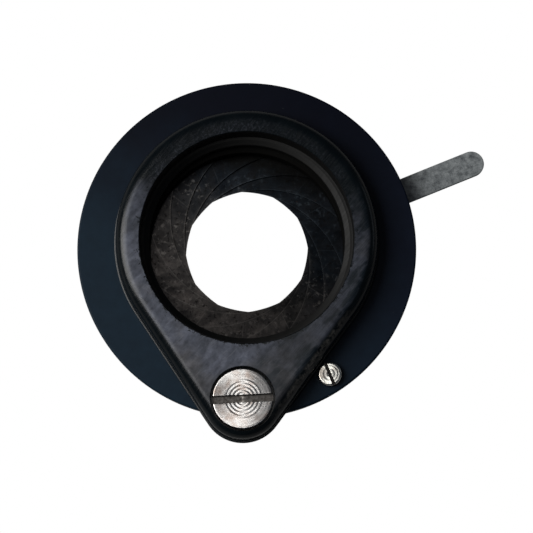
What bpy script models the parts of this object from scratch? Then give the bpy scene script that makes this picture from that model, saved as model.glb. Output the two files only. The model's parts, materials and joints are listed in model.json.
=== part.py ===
"""Iris diaphragm unit with a swing-out filter holder, as fitted under a microscope's condenser.

It lies on its mounting spigot: Z = 0 is the spigot's end face, +Z runs along the light path
towards the filter holder, and -Y is the side of the holder's pivot. The origin is the middle
of the whole unit's footprint, so the iris axis stands a little to one side of it.
"""
import math

import bmesh
import bpy
from mathutils import Matrix, Vector

MM = 0.001

# Driving dimensions of the disc and the cup behind it
DISC_RADIUS = 26.0 * MM
DISC_THICKNESS = 2.1 * MM
DISC_EDGE_BREAK = 0.3 * MM
LIGHT_BORE_RADIUS = 14.85 * MM
CUP_RADIUS = 24.9 * MM
CUP_BORE_RADIUS = 23.1 * MM
CUP_FLOOR_Z = 10.3 * MM
CUP_RIM_Z = 3.0 * MM
DISC_FRONT_Z = CUP_FLOOR_Z + DISC_THICKNESS

# Rear cover: spigot, flange and the collar that the cam ring runs on
SPIGOT_RADIUS = 18.5 * MM
COVER_BORE_RADIUS = 15.5 * MM
COVER_FLANGE_RADIUS = 23.0 * MM
COVER_FLANGE_TOP_Z = 4.8 * MM
COLLAR_RADIUS = 18.0 * MM
COLLAR_TOP_Z = 5.6 * MM
SPIGOT_CHAMFER = 0.3 * MM
CLAMP_GROOVE_Z = 1.5 * MM
CLAMP_GROOVE_DEPTH = 0.5 * MM
GRUB_RADIUS = 0.5 * MM
GRUB_Z = 3.9 * MM
GRUB_ANGLES = (150.0, 215.0, 325.0)

# Iris: twelve crescent leaves on a pivot circle, opened and closed by a slotted cam ring
LEAF_COUNT = 12
PIVOT_CIRCLE_RADIUS = 19.8 * MM
LEAF_INNER_RADIUS = 17.0 * MM
LEAF_OUTER_RADIUS = 22.6 * MM
LEAF_SPAN_DEG = 130.0
LEAF_THICKNESS = 0.04 * MM
LEAF_STEPS = 28
LEAF_TIP_STEPS = 4
LEAF_TOP_Z = CUP_FLOOR_Z - 0.12 * MM
LEAF_DROP = 2.4 * MM
LEAF_DROP_MIDDLE_SHARE = 0.4
LEAF_REST_DEG = 22.4
LEAF_PHASE_DEG = 8.3
LEAF_PIN_RADIUS = 0.5 * MM
PIVOT_PIN_TOP_Z = CUP_FLOOR_Z + 1.0 * MM
DRIVE_PIN_END_Z = 6.45 * MM
CAM_RING_Z = (6.25 * MM, 7.65 * MM)
CAM_RING_RADII = (14.9 * MM, 22.9 * MM)
CAM_RANGE_DEG = (-34.0, 49.0)
LEAF_TO_CAM_RATIO = 0.4815
PIN_CLEARANCE = 0.08 * MM

# Lever that turns the cam ring
LEVER_AZIMUTH_DEG = 23.6
LEVER_Z = (5.4 * MM, 6.2 * MM)
LEVER_WIDTH = 4.0 * MM
LEVER_TIP_RADIUS = 38.2 * MM
LEVER_FOOT_RADIUS = 18.9 * MM
LEVER_FOOT_WIDTH = 9.4 * MM
LEVER_FLARE_START = 22.3 * MM
LEVER_FLARE_END = 27.4 * MM
LEVER_SCREW_PLACE = (20.9 * MM, 3.0 * MM)
LEVER_SCREW_RADIUS = 0.55 * MM
LEVER_WINDOW_MARGIN_DEG = 13.0

# Filter holder: a teardrop ring with a recess, swinging on a shoulder screw
HOLDER_CENTRE_Y = 0.75 * MM
HOLDER_PIVOT_Y = -23.7 * MM
HOLDER_RING_RADIUS = 20.3 * MM
HOLDER_TAIL_RADIUS = 6.3 * MM
HOLDER_BOTTOM_Z = DISC_FRONT_Z + 0.35 * MM
HOLDER_HEIGHT = 5.0 * MM
HOLDER_TOP_Z = HOLDER_BOTTOM_Z + HOLDER_HEIGHT
HOLDER_FOOT_STEP = 0.4 * MM
HOLDER_SHOULDER = 1.9 * MM
RECESS_RADIUS = 16.2 * MM
RECESS_DEPTH = 3.5 * MM
SEAT_INNER_RADIUS = 15.75 * MM
HOLDER_BORE_RADIUS = 14.95 * MM
SEAT_CHAMFER = 0.4 * MM
HEAD_RECESS_RADIUS = 4.85 * MM
HEAD_RECESS_Z = HOLDER_BOTTOM_Z + 2.2 * MM

# Pivot screw, its two washers, and the stop screw
PIVOT_HEAD_RADIUS = 4.55 * MM
PIVOT_HEAD_Z = (HOLDER_TOP_Z - 2.3 * MM, HOLDER_TOP_Z - 0.3 * MM)
PIVOT_SHOULDER_RADIUS = 2.4 * MM
PIVOT_THREAD_RADIUS = 1.5 * MM
PIVOT_THREAD_DEPTH = 1.6 * MM
PIVOT_SLOT = (1.2 * MM, 0.9 * MM)
PIVOT_SLOT_DEG = 4.3
STOP_HEAD_RADIUS = 1.8 * MM
STOP_HEAD_HEIGHT = 1.5 * MM
STOP_SHANK_RADIUS = 0.8 * MM
STOP_DEPTH = 1.5 * MM
STOP_SLOT = (0.5 * MM, 0.6 * MM)
STOP_SLOT_DEG = -65.7
STOP_ALONG_FLANK = 9.0 * MM
FACE_GAP = 0.05 * MM

BIG_ROUND = 72
SMALL_ROUND = 24
PIN_ROUND = 12

# Footprint: the disc's left and top edges, the lever's tip and the holder's tail
lever_angle = math.radians(LEVER_AZIMUTH_DEG)
FOOTPRINT_X = (-DISC_RADIUS, LEVER_TIP_RADIUS * math.cos(lever_angle) + LEVER_WIDTH / 2)
FOOTPRINT_Y = (HOLDER_PIVOT_Y - HOLDER_TAIL_RADIUS, DISC_RADIUS)
IRIS_AXIS = Vector((-sum(FOOTPRINT_X) / 2, -sum(FOOTPRINT_Y) / 2, 0.0))

COLOURS = {  # name: base colour, metallic, roughness
    "navy_black_disc": ((0.010, 0.014, 0.022), 0.0, 0.45),
    "black_gloss_holder": ((0.012, 0.012, 0.013), 0.0, 0.25),
    "black_rear_cover": ((0.015, 0.015, 0.016), 0.0, 0.5),
    "blued_leaf": ((0.060, 0.058, 0.056), 0.8, 0.4),
    "cam_brass": ((0.42, 0.33, 0.16), 1.0, 0.4),
    "lever_zinc": ((0.20, 0.20, 0.20), 0.9, 0.5),
    "nickel_screw": ((0.55, 0.52, 0.49), 1.0, 0.3),
    "spring_steel": ((0.35, 0.35, 0.36), 1.0, 0.35),
}


def clear_scene():
    for obj in list(bpy.data.objects):
        bpy.data.objects.remove(obj, do_unlink=True)


def new_collection(name):
    collection = bpy.data.collections.new(name)
    bpy.context.scene.collection.children.link(collection)
    return collection


def material(name):
    found = bpy.data.materials.get(name)
    if found:
        return found
    colour, metallic, roughness = COLOURS[name]
    made = bpy.data.materials.new(name)
    made.use_nodes = True
    shader = made.node_tree.nodes["Principled BSDF"]
    shader.inputs["Base Color"].default_value = (*colour, 1.0)
    shader.inputs["Metallic"].default_value = metallic
    shader.inputs["Roughness"].default_value = roughness
    return made


def object_of(name, mesh, collection):
    obj = bpy.data.objects.new(name, mesh)
    collection.objects.link(obj)
    return obj


def evaluated_mesh(obj, name):
    bpy.context.view_layer.update()
    graph = bpy.context.evaluated_depsgraph_get()
    mesh = bpy.data.meshes.new_from_object(obj.evaluated_get(graph))
    mesh.name = name
    return mesh


def turned(name, profile, segments, collection, closed=True):
    """A turned solid. The profile runs clockwise as (radius, z), down its outer side."""
    mesh = bpy.data.meshes.new(name)
    edges = [(i, i + 1) for i in range(len(profile) - 1)]
    if closed:
        edges.append((len(profile) - 1, 0))
    mesh.from_pydata([(radius, 0.0, z) for radius, z in profile], edges, [])
    obj = object_of(name, mesh, collection)
    screw = obj.modifiers.new("turn", "SCREW")
    screw.steps = segments
    screw.render_steps = segments
    screw.use_merge_vertices = True
    screw.merge_threshold = 1e-6
    return obj


def outline_solid(name, outline, low_z, high_z, collection):
    """A flat outline of (x, y) points, filled and given a thickness from low_z to high_z."""
    curve = bpy.data.curves.new(name + "_outline", "CURVE")
    curve.dimensions = "2D"
    curve.fill_mode = "BOTH"
    curve.extrude = (high_z - low_z) / 2
    spline = curve.splines.new("POLY")
    spline.points.add(len(outline) - 1)
    for point, (x, y) in zip(spline.points, outline):
        point.co = (x, y, 0.0, 1.0)
    spline.use_cyclic_u = True
    guide = object_of(name + "_guide", curve, collection)
    mesh = evaluated_mesh(guide, name)
    bpy.data.objects.remove(guide, do_unlink=True)
    shape = bmesh.new()
    shape.from_mesh(mesh)
    bmesh.ops.remove_doubles(shape, verts=shape.verts, dist=1e-7)
    bmesh.ops.translate(shape, verts=shape.verts, vec=(0.0, 0.0, (low_z + high_z) / 2))
    bmesh.ops.recalc_face_normals(shape, faces=shape.faces)
    shape.to_mesh(mesh)
    shape.free()
    return object_of(name, mesh, collection)


def rod(name, radius, low_z, high_z, segments=PIN_ROUND, place=(0.0, 0.0)):
    """A plain round cutter or pin that stands along Z."""
    shape = bmesh.new()
    middle = Matrix.Translation((place[0], place[1], (low_z + high_z) / 2))
    bmesh.ops.create_cone(
        shape, cap_ends=True, segments=segments, radius1=radius, radius2=radius,
        depth=high_z - low_z, matrix=middle,
    )
    mesh = bpy.data.meshes.new(name)
    shape.to_mesh(mesh)
    shape.free()
    return object_of(name, mesh, cutters)


def box(name, size, centre, turn_deg=0.0):
    """A plain block cutter, turned about Z."""
    shape = bmesh.new()
    place = Matrix.Translation(centre) @ Matrix.Rotation(math.radians(turn_deg), 4, "Z")
    bmesh.ops.create_cube(shape, size=1.0, matrix=place @ Matrix.Diagonal((*size, 1.0)))
    mesh = bpy.data.meshes.new(name)
    shape.to_mesh(mesh)
    shape.free()
    return object_of(name, mesh, cutters)


def combine(obj, tools, operation):
    """Cuts the tools from the object or joins them to it, and keeps them as wire helpers."""
    group = bpy.data.collections.new(obj.name + "_" + operation.lower())
    cutters.children.link(group)
    for tool in tools:
        cutters.objects.unlink(tool)
        group.objects.link(tool)
        tool.hide_render = True
        tool.display_type = "WIRE"
        tool.parent = obj
    boolean = obj.modifiers.new(operation.lower(), "BOOLEAN")
    boolean.operation = operation
    boolean.operand_type = "COLLECTION"
    boolean.collection = group
    boolean.solver = "EXACT"


def finish_part(obj, material_name, location=(0.0, 0.0, 0.0), rotation=(0.0, 0.0, 0.0)):
    """Gives the part its material and its place on the iris axis, and shades it smooth."""
    obj.data.materials.clear()
    obj.data.materials.append(material(material_name))
    obj.parent = iris_axis
    obj.location = location
    obj.rotation_euler = rotation
    if obj.data.polygons:
        obj.data.shade_smooth()
        obj.data.set_sharp_from_angle(angle=math.radians(40.0))
    return obj


def polar(radius, degrees):
    angle = math.radians(degrees)
    return radius * math.cos(angle), radius * math.sin(angle)


def arc(centre, radius, start_deg, end_deg, steps):
    return [
        (
            centre[0] + polar(radius, start_deg + (end_deg - start_deg) * i / steps)[0],
            centre[1] + polar(radius, start_deg + (end_deg - start_deg) * i / steps)[1],
        )
        for i in range(steps + 1)
    ]


# ---------------------------------------------------------------- iris kinematics


def leaf_pivot_deg(index):
    return LEAF_PHASE_DEG + 360.0 / LEAF_COUNT * index


def drive_pin(leaf_deg):
    """Polar place (radius, degrees past the leaf's pivot) of a leaf's drive pin, leaf at an angle."""
    centre_x, centre_y = polar(-PIVOT_CIRCLE_RADIUS, leaf_deg)
    pin_x, pin_y = polar(PIVOT_CIRCLE_RADIUS, leaf_deg + LEAF_SPAN_DEG)
    x = PIVOT_CIRCLE_RADIUS + centre_x + pin_x
    y = centre_y + pin_y
    return math.hypot(x, y), math.degrees(math.atan2(y, x)) % 360.0


def slot_outline(index):
    """One cam slot: radial, long and wide enough for the pin's path over the cam's whole range."""
    rest_deg = drive_pin(LEAF_REST_DEG)[1]
    low, high = CAM_RANGE_DEG
    path = []
    samples = 60
    for i in range(samples + 1):
        cam_deg = low + (high - low) * i / samples
        radius, degrees = drive_pin(LEAF_REST_DEG + cam_deg * LEAF_TO_CAM_RATIO)
        path.append((radius, degrees - rest_deg - cam_deg))
    inner = min(radius for radius, _ in path)
    outer = max(radius for radius, _ in path)
    across = [math.radians(degrees) * radius for radius, degrees in path]
    half_width = (max(across) - min(across)) / 2 + LEAF_PIN_RADIUS + PIN_CLEARANCE
    middle_deg = math.degrees((max(across) + min(across)) / (inner + outer))
    inner_end = inner - LEAF_PIN_RADIUS - PIN_CLEARANCE + half_width
    outer_end = outer + LEAF_PIN_RADIUS + PIN_CLEARANCE - half_width
    azimuth = leaf_pivot_deg(index) + rest_deg + middle_deg
    capsule = arc((outer_end, 0.0), half_width, -90.0, 90.0, 6)
    capsule += arc((inner_end, 0.0), half_width, 90.0, 270.0, 6)
    turn = Matrix.Rotation(math.radians(azimuth), 2)
    return [tuple(turn @ Vector(point)) for point in capsule]


def leaf_height(degrees):
    """A leaf falls from its pivot to its drive end, steepest in the middle, so it clears the rest."""
    along = min(max(degrees / LEAF_SPAN_DEG, 0.0), 1.0)
    eased = along * along * (3.0 - 2.0 * along)
    share = LEAF_DROP_MIDDLE_SHARE
    return LEAF_TOP_Z - LEAF_DROP * ((1.0 - share) * along + share * eased)


# ---------------------------------------------------------------- parts


def iris_housing():
    profile = [
        (LIGHT_BORE_RADIUS, DISC_FRONT_Z),
        (DISC_RADIUS - DISC_EDGE_BREAK, DISC_FRONT_Z),
        (DISC_RADIUS, DISC_FRONT_Z - DISC_EDGE_BREAK),
        (DISC_RADIUS, CUP_FLOOR_Z),
        (CUP_RADIUS, CUP_FLOOR_Z),
        (CUP_RADIUS, CUP_RIM_Z),
        (CUP_BORE_RADIUS, CUP_RIM_Z),
        (CUP_BORE_RADIUS, CUP_FLOOR_Z),
        (LIGHT_BORE_RADIUS, CUP_FLOOR_Z),
    ]
    housing = turned("iris_housing", profile, BIG_ROUND, parts)
    past = 0.5 * MM
    tools = [
        rod(
            f"leaf_pivot_hole_{index + 1:02d}",
            LEAF_PIN_RADIUS + PIN_CLEARANCE,
            CUP_FLOOR_Z - past,
            PIVOT_PIN_TOP_Z + 0.2 * MM,
            place=polar(PIVOT_CIRCLE_RADIUS, leaf_pivot_deg(index)),
        )
        for index in range(LEAF_COUNT)
    ]
    tools.append(
        rod("pivot_thread", PIVOT_THREAD_RADIUS + FACE_GAP, DISC_FRONT_Z - PIVOT_THREAD_DEPTH - 0.1 * MM,
            DISC_FRONT_Z + past, SMALL_ROUND, (0.0, HOLDER_PIVOT_Y))
    )
    tools.append(
        rod("stop_thread", STOP_SHANK_RADIUS + FACE_GAP, DISC_FRONT_Z - STOP_DEPTH - 0.1 * MM,
            DISC_FRONT_Z + past, PIN_ROUND, stop_place())
    )
    for number, degrees in enumerate(GRUB_ANGLES, start=1):
        hole = rod(f"grub_hole_{number}", GRUB_RADIUS + FACE_GAP, CUP_BORE_RADIUS - past, CUP_RADIUS + past)
        hole.location = (0.0, 0.0, GRUB_Z)
        hole.rotation_euler = (0.0, math.pi / 2, math.radians(degrees))
        tools.append(hole)
    start = LEVER_AZIMUTH_DEG + CAM_RANGE_DEG[0] - LEVER_WINDOW_MARGIN_DEG
    end = LEVER_AZIMUTH_DEG + CAM_RANGE_DEG[1] + LEVER_WINDOW_MARGIN_DEG
    steps = 30
    window = arc((0.0, 0.0), CUP_RADIUS + past, start, end, steps)
    window += arc((0.0, 0.0), CUP_BORE_RADIUS - past, end, start, steps)
    clearance = 0.15 * MM
    tools.append(
        outline_solid("lever_window", window, LEVER_Z[0] - clearance, LEVER_Z[1] + clearance, cutters)
    )
    combine(housing, tools, "DIFFERENCE")
    return finish_part(housing, "navy_black_disc")


def rear_cover():
    groove = CLAMP_GROOVE_DEPTH
    profile = [
        (COVER_BORE_RADIUS, COLLAR_TOP_Z),
        (COLLAR_RADIUS, COLLAR_TOP_Z),
        (COLLAR_RADIUS, COVER_FLANGE_TOP_Z),
        (COVER_FLANGE_RADIUS, COVER_FLANGE_TOP_Z),
        (COVER_FLANGE_RADIUS, CUP_RIM_Z),
        (SPIGOT_RADIUS, CUP_RIM_Z),
        (SPIGOT_RADIUS, CLAMP_GROOVE_Z + groove),
        (SPIGOT_RADIUS - groove, CLAMP_GROOVE_Z),
        (SPIGOT_RADIUS, CLAMP_GROOVE_Z - groove),
        (SPIGOT_RADIUS, SPIGOT_CHAMFER),
        (SPIGOT_RADIUS - SPIGOT_CHAMFER, 0.0),
        (COVER_BORE_RADIUS, 0.0),
    ]
    cover = turned("rear_cover", profile, BIG_ROUND, parts)
    tools = []
    for number, degrees in enumerate(GRUB_ANGLES, start=1):
        hole = rod(f"grub_seat_{number}", GRUB_RADIUS + FACE_GAP, COVER_FLANGE_RADIUS - 1.2 * MM,
                   COVER_FLANGE_RADIUS + 0.5 * MM)
        hole.location = (0.0, 0.0, GRUB_Z)
        hole.rotation_euler = (0.0, math.pi / 2, math.radians(degrees))
        tools.append(hole)
    combine(cover, tools, "DIFFERENCE")
    return finish_part(cover, "black_rear_cover")


def cover_grub_screws():
    length = 2.6 * MM
    slot_width, slot_depth = 0.25 * MM, 0.3 * MM
    for number, degrees in enumerate(GRUB_ANGLES, start=1):
        profile = [(0.0, length), (GRUB_RADIUS, length), (GRUB_RADIUS, 0.0), (0.0, 0.0)]
        grub = turned(f"cover_grub_screw_{number}", profile, PIN_ROUND, parts, closed=False)
        slot = box(f"grub_slot_{number}", (3 * GRUB_RADIUS, slot_width, 2 * slot_depth), (0.0, 0.0, length))
        combine(grub, [slot], "DIFFERENCE")
        inner_end = COVER_FLANGE_RADIUS - 1.0 * MM
        x, y = polar(inner_end, degrees)
        finish_part(grub, "spring_steel", (x, y, GRUB_Z), (0.0, math.pi / 2, math.radians(degrees)))


def cam_ring():
    (inner, outer), (low, high) = CAM_RING_RADII, CAM_RING_Z
    profile = [(inner, high), (outer, high), (outer, low), (inner, low)]
    ring = turned("cam_ring", profile, BIG_ROUND, parts)
    past = 0.5 * MM
    tools = [
        outline_solid(f"cam_slot_{index + 1:02d}", slot_outline(index), low - past, high + past, cutters)
        for index in range(LEAF_COUNT)
    ]
    for side in (-1, 1):
        tools.append(
            rod(f"lever_thread_{side + 2}", LEVER_SCREW_RADIUS + FACE_GAP, low - past, high - 0.2 * MM,
                place=lever_screw_place(side))
        )
    combine(ring, tools, "DIFFERENCE")
    return finish_part(ring, "cam_brass")


def wavy_ring(name, inner, outer, middle_z, wave, thickness, segments):
    """A thin spring washer with three waves."""
    mesh = bpy.data.meshes.new(name)
    shape = bmesh.new()
    rows = []
    for step in range(segments):
        degrees = 360.0 * step / segments
        height = middle_z + wave * math.cos(math.radians(3 * degrees))
        rows.append([shape.verts.new((*polar(radius, degrees), height)) for radius in (inner, outer)])
    for step in range(segments):
        near, far = rows[step], rows[(step + 1) % segments]
        shape.faces.new((near[0], near[1], far[1], far[0]))
    shape.to_mesh(mesh)
    shape.free()
    ring = object_of(name, mesh, parts)
    solid = ring.modifiers.new("sheet", "SOLIDIFY")
    solid.thickness = thickness
    solid.offset = 0.0
    return ring


def cam_wave_spring():
    middle = (COLLAR_TOP_Z + CAM_RING_Z[0]) / 2
    spring = wavy_ring("cam_wave_spring", 15.8 * MM, 17.7 * MM, middle, 0.17 * MM, 0.15 * MM, 48)
    return finish_part(spring, "spring_steel")


def lever_screw_place(side):
    radius, across = LEVER_SCREW_PLACE
    turn = Matrix.Rotation(lever_angle, 2)
    return tuple(turn @ Vector((radius, side * across)))


def iris_lever():
    """A flat strip with a round tip, flaring to a wider foot under the cam ring."""
    half, foot = LEVER_WIDTH / 2, LEVER_FOOT_WIDTH / 2
    tip = arc((LEVER_TIP_RADIUS, 0.0), half, -90.0, 90.0, 16)
    flare = []
    flare_steps = 8
    for i in range(flare_steps + 1):
        share = i / flare_steps
        x = LEVER_FLARE_END + (LEVER_FLARE_START - LEVER_FLARE_END) * share
        flare.append((x, half + (foot - half) * share**3))
    upper = flare + [(LEVER_FOOT_RADIUS, foot)]
    lower = [(x, -y) for x, y in reversed(upper)]
    lever = outline_solid("iris_lever", tip + upper + lower, LEVER_Z[0], LEVER_Z[1], parts)
    holes = []
    radius, across = LEVER_SCREW_PLACE
    for side in (-1, 1):
        holes.append(
            rod(f"lever_hole_{side + 2}", LEVER_SCREW_RADIUS + FACE_GAP, LEVER_Z[0] - 0.5 * MM,
                LEVER_Z[1] + 0.5 * MM, place=(radius, side * across))
        )
    combine(lever, holes, "DIFFERENCE")
    return finish_part(lever, "lever_zinc", rotation=(0.0, 0.0, lever_angle))


def slotted_screw(name, profile, segments, slot, slot_deg, top_z):
    """A turned screw standing along Z, with a straight slot across its top."""
    screw = turned(name, profile, segments, parts, closed=False)
    width, depth = slot
    longest = 4 * max(radius for radius, _ in profile)
    tool = box(name + "_slot", (longest, width, 2 * depth), (0.0, 0.0, top_z), slot_deg)
    combine(screw, [tool], "DIFFERENCE")
    return screw


def lever_screws():
    """Two pan-head screws put in from behind, so they are turned upside down."""
    head_radius, head_height = 1.1 * MM, 0.4 * MM
    length = 1.9 * MM
    for number, side in enumerate((-1, 1), start=1):
        profile = [
            (0.0, head_height),
            (head_radius, head_height),
            (head_radius, 0.0),
            (LEVER_SCREW_RADIUS, 0.0),
            (LEVER_SCREW_RADIUS, -length),
            (0.0, -length),
        ]
        screw = slotted_screw(f"lever_screw_{number}", profile, PIN_ROUND, (0.3 * MM, 0.2 * MM), 0.0, head_height)
        x, y = lever_screw_place(side)
        finish_part(screw, "spring_steel", (x, y, LEVER_Z[0] - FACE_GAP), (math.pi, 0.0, 0.0))


def leaf_mesh():
    """One crescent leaf about its pivot pin: a warped sheet with round ends and two riveted pins."""
    width = (LEAF_OUTER_RADIUS - LEAF_INNER_RADIUS) / 2
    middle = (LEAF_OUTER_RADIUS + LEAF_INNER_RADIUS) / 2
    centre = Vector((-PIVOT_CIRCLE_RADIUS, 0.0))
    rows = []
    for i in range(LEAF_TIP_STEPS):
        lean = math.radians(90.0 * i / LEAF_TIP_STEPS)
        back = -width * math.cos(lean)
        rows.append((0.0, back, width * math.sin(lean)))
    for i in range(LEAF_STEPS + 1):
        rows.append((LEAF_SPAN_DEG * i / LEAF_STEPS, 0.0, width))
    for i in range(1, LEAF_TIP_STEPS + 1):
        lean = math.radians(90.0 * i / LEAF_TIP_STEPS)
        rows.append((LEAF_SPAN_DEG, width * math.sin(lean), width * math.cos(lean)))

    shape = bmesh.new()
    strip = []
    for degrees, past, half in rows:
        out = Vector(polar(1.0, degrees))
        along = Vector(polar(1.0, degrees + 90.0))
        height = leaf_height(degrees)
        base = centre + out * middle + along * past
        if half < 1e-9:
            strip.append([shape.verts.new((*base, height))])
        else:
            strip.append([shape.verts.new((*(base + out * offset), height)) for offset in (-half, half)])
    for near, far in zip(strip, strip[1:]):
        if len(near) == 1:
            shape.faces.new((near[0], far[1], far[0]))
        elif len(far) == 1:
            shape.faces.new((near[0], near[1], far[0]))
        else:
            shape.faces.new((near[0], near[1], far[1], far[0]))
    mesh = bpy.data.meshes.new("leaf_sheet")
    shape.to_mesh(mesh)
    shape.free()

    sheet = object_of("leaf_sheet", mesh, cutters)
    solid = sheet.modifiers.new("sheet", "SOLIDIFY")
    solid.thickness = LEAF_THICKNESS
    solid.offset = 0.0
    pivot_pin = rod("leaf_pivot_pin", LEAF_PIN_RADIUS, leaf_height(0.0), PIVOT_PIN_TOP_Z)
    drive_x, drive_y = centre + Vector(polar(PIVOT_CIRCLE_RADIUS, LEAF_SPAN_DEG))
    drive = rod(
        "leaf_drive_pin", LEAF_PIN_RADIUS, DRIVE_PIN_END_Z, leaf_height(LEAF_SPAN_DEG), place=(drive_x, drive_y)
    )
    combine(sheet, [pivot_pin, drive], "UNION")
    leaf = evaluated_mesh(sheet, "iris_leaf")
    for helper in (pivot_pin, drive, sheet):
        bpy.data.objects.remove(helper, do_unlink=True)
    return leaf


def iris_leaves():
    leaf = leaf_mesh()
    for index in range(LEAF_COUNT):
        degrees = leaf_pivot_deg(index)
        piece = object_of(f"iris_leaf_{index + 1:02d}", leaf, parts)
        x, y = polar(PIVOT_CIRCLE_RADIUS, degrees)
        turn = math.radians(degrees + LEAF_REST_DEG)
        finish_part(piece, "blued_leaf", (x, y, 0.0), (0.0, 0.0, turn))


def flank_angle_deg():
    """How far below level the common tangent of ring and tail touches each of them."""
    reach = HOLDER_CENTRE_Y - HOLDER_PIVOT_Y
    return math.degrees(math.asin((HOLDER_RING_RADIUS - HOLDER_TAIL_RADIUS) / reach))


def teardrop(inset):
    """The holder's outline about its pivot: ring and tail joined by their common tangents."""
    reach = HOLDER_CENTRE_Y - HOLDER_PIVOT_Y
    lean = flank_angle_deg()
    ring = arc((0.0, reach), HOLDER_RING_RADIUS - inset, -lean, 180.0 + lean, 50)
    tail = arc((0.0, 0.0), HOLDER_TAIL_RADIUS - inset, 180.0 + lean, 360.0 - lean, 14)
    return ring + tail


def stop_place():
    """The stop screw touches the holder's right flank."""
    lean = flank_angle_deg()
    out = Vector(polar(1.0, -lean))
    down = Vector(polar(1.0, -lean - 90.0))
    distance = HOLDER_RING_RADIUS + STOP_HEAD_RADIUS + FACE_GAP
    place = Vector((0.0, HOLDER_CENTRE_Y)) + out * distance + down * STOP_ALONG_FLANK
    return tuple(place)


def filter_holder():
    foot_height = 0.45 * MM
    overlap = 0.2 * MM
    holder = outline_solid(
        "filter_holder", teardrop(HOLDER_FOOT_STEP), HOLDER_BOTTOM_Z + foot_height - overlap, HOLDER_TOP_Z, parts
    )
    shape = bmesh.new()
    shape.from_mesh(holder.data)
    bmesh.ops.dissolve_limit(shape, angle_limit=math.radians(1.0), verts=shape.verts, edges=shape.edges)
    rim = [
        edge
        for edge in shape.edges
        if all(abs(vert.co.z - HOLDER_TOP_Z) < 1e-6 for vert in edge.verts) and edge.is_manifold
    ]
    bmesh.ops.bevel(
        shape, geom=rim, offset=HOLDER_SHOULDER, segments=4, profile=0.5, affect="EDGES", clamp_overlap=False
    )
    shape.to_mesh(holder.data)
    shape.free()
    foot = outline_solid(
        "holder_foot", teardrop(0.0), HOLDER_BOTTOM_Z, HOLDER_BOTTOM_Z + foot_height, cutters
    )
    combine(holder, [foot], "UNION")

    past = 0.5 * MM
    reach = HOLDER_CENTRE_Y - HOLDER_PIVOT_Y
    seat_z = HOLDER_TOP_Z - RECESS_DEPTH
    recess_profile = [
        (0.0, HOLDER_TOP_Z + past),
        (RECESS_RADIUS, HOLDER_TOP_Z + past),
        (RECESS_RADIUS, seat_z),
        (SEAT_INNER_RADIUS, seat_z),
        (HOLDER_BORE_RADIUS, seat_z - SEAT_CHAMFER),
        (HOLDER_BORE_RADIUS, HOLDER_BOTTOM_Z - past),
        (0.0, HOLDER_BOTTOM_Z - past),
    ]
    recess = turned("filter_recess", recess_profile, BIG_ROUND, cutters, closed=False)
    recess.location = (0.0, reach, 0.0)
    head_profile = [
        (0.0, HOLDER_TOP_Z + past),
        (HEAD_RECESS_RADIUS, HOLDER_TOP_Z + past),
        (HEAD_RECESS_RADIUS, HEAD_RECESS_Z),
        (PIVOT_SHOULDER_RADIUS + PIN_CLEARANCE, HEAD_RECESS_Z),
        (PIVOT_SHOULDER_RADIUS + PIN_CLEARANCE, HOLDER_BOTTOM_Z - past),
        (0.0, HOLDER_BOTTOM_Z - past),
    ]
    head_recess = turned("head_recess", head_profile, 36, cutters, closed=False)
    combine(holder, [recess, head_recess], "DIFFERENCE")
    return finish_part(holder, "black_gloss_holder", (0.0, HOLDER_PIVOT_Y, 0.0))


def pivot_screw():
    low, high = PIVOT_HEAD_Z
    edge = 0.25 * MM
    profile = [
        (0.0, high),
        (PIVOT_HEAD_RADIUS - edge, high),
        (PIVOT_HEAD_RADIUS, high - edge),
        (PIVOT_HEAD_RADIUS, low),
        (PIVOT_SHOULDER_RADIUS, low),
        (PIVOT_SHOULDER_RADIUS, DISC_FRONT_Z + FACE_GAP),
        (PIVOT_THREAD_RADIUS, DISC_FRONT_Z + FACE_GAP),
        (PIVOT_THREAD_RADIUS, DISC_FRONT_Z - PIVOT_THREAD_DEPTH),
        (0.0, DISC_FRONT_Z - PIVOT_THREAD_DEPTH),
    ]
    screw = slotted_screw("pivot_screw", profile, 36, PIVOT_SLOT, PIVOT_SLOT_DEG, high)
    return finish_part(screw, "nickel_screw", (0.0, HOLDER_PIVOT_Y, 0.0))


def pivot_washers():
    inner, outer = PIVOT_SHOULDER_RADIUS + 0.1 * MM, 4.4 * MM
    low, high = DISC_FRONT_Z + FACE_GAP, HOLDER_BOTTOM_Z - FACE_GAP
    flat = turned(
        "pivot_washer", [(inner, high), (outer, high), (outer, low), (inner, low)], SMALL_ROUND, parts
    )
    finish_part(flat, "spring_steel", (0.0, HOLDER_PIVOT_Y, 0.0))
    middle = (HEAD_RECESS_Z + PIVOT_HEAD_Z[0]) / 2
    wavy = wavy_ring("pivot_wave_washer", inner, outer - 0.2 * MM, middle, 0.13 * MM, 0.12 * MM, SMALL_ROUND)
    finish_part(wavy, "spring_steel", (0.0, HOLDER_PIVOT_Y, 0.0))


def stop_screw():
    low = DISC_FRONT_Z + FACE_GAP
    high = low + STOP_HEAD_HEIGHT
    edge = 0.2 * MM
    profile = [
        (0.0, high),
        (STOP_HEAD_RADIUS - edge, high),
        (STOP_HEAD_RADIUS, high - edge),
        (STOP_HEAD_RADIUS, low),
        (STOP_SHANK_RADIUS, low),
        (STOP_SHANK_RADIUS, DISC_FRONT_Z - STOP_DEPTH),
        (0.0, DISC_FRONT_Z - STOP_DEPTH),
    ]
    screw = slotted_screw("stop_screw", profile, SMALL_ROUND, STOP_SLOT, STOP_SLOT_DEG, high)
    return finish_part(screw, "nickel_screw", (*stop_place(), 0.0))


clear_scene()
parts = new_collection("iris_diaphragm_unit")
cutters = new_collection("cutters")
iris_axis = bpy.data.objects.new("iris_axis", None)
iris_axis.location = IRIS_AXIS
parts.objects.link(iris_axis)

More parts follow.
